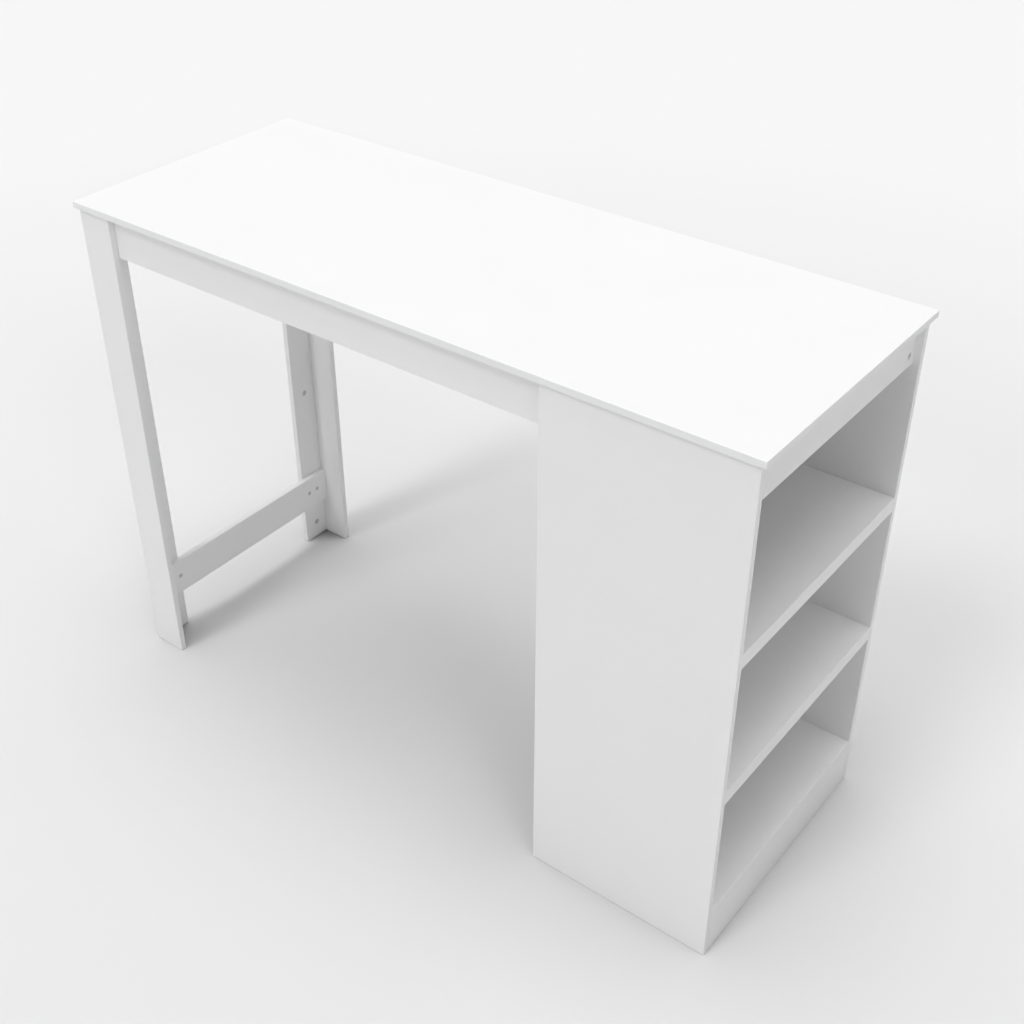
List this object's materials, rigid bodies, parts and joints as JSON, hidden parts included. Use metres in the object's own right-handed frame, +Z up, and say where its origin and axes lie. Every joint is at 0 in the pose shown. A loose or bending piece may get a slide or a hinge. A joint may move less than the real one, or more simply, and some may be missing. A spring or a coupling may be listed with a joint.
{
  "type": "bar table",
  "caption": "White bar table on an L-shaped pair of legs with a foot rail at one end and an open shelf cabinet at the other.",
  "frame": {"origin": "on the floor, under the middle of the table top", "axes": "+X along the table towards the shelf cabinet, +Y across the table, +Z up"},
  "size_m": [1.4, 0.54, 1.008],
  "materials": {
    "white_board": "satin white melamine on particle board",
    "cam_metal": "die-cast zinc, satin",
    "plated_steel": "zinc plated",
    "dowel_wood": "plain beech"
  },
  "bodies": {
    "root": {"tabletop": "white_board", "front_apron": "white_board", "back_apron": "white_board", "left_end_rail": "white_board", "right_end_rail": "white_board", "front_leg_face_board": "white_board", "front_leg_side_board": "white_board", "back_leg_face_board": "white_board", "back_leg_side_board": "white_board", "foot_rail": "white_board", "cabinet_front_panel": "white_board", "cabinet_back_panel": "white_board", "cabinet_partition": "white_board", "upper_shelf": "white_board", "lower_shelf": "white_board", "bottom_shelf": "white_board", "plinth": "white_board", "leg_cam_locks": "cam_metal", "leg_cam_bolts": "plated_steel", "leg_dowels": "dowel_wood", "apron_cam_locks": "cam_metal", "apron_cam_bolts": "plated_steel", "apron_dowels": "dowel_wood", "end_rail_cam_locks": "cam_metal", "end_rail_cam_bolts": "plated_steel", "end_rail_dowels": "dowel_wood", "partition_cam_locks": "cam_metal", "partition_cam_bolts": "plated_steel", "partition_dowels": "dowel_wood", "shelf_cam_locks": "cam_metal", "shelf_cam_bolts": "plated_steel", "shelf_dowels": "dowel_wood", "plinth_cam_locks": "cam_metal", "plinth_cam_bolts": "plated_steel", "plinth_dowels": "dowel_wood", "top_cam_locks": "cam_metal", "top_cam_bolts": "plated_steel", "top_dowels": "dowel_wood", "rail_screws": "plated_steel"}
  },
  "joints": []
}
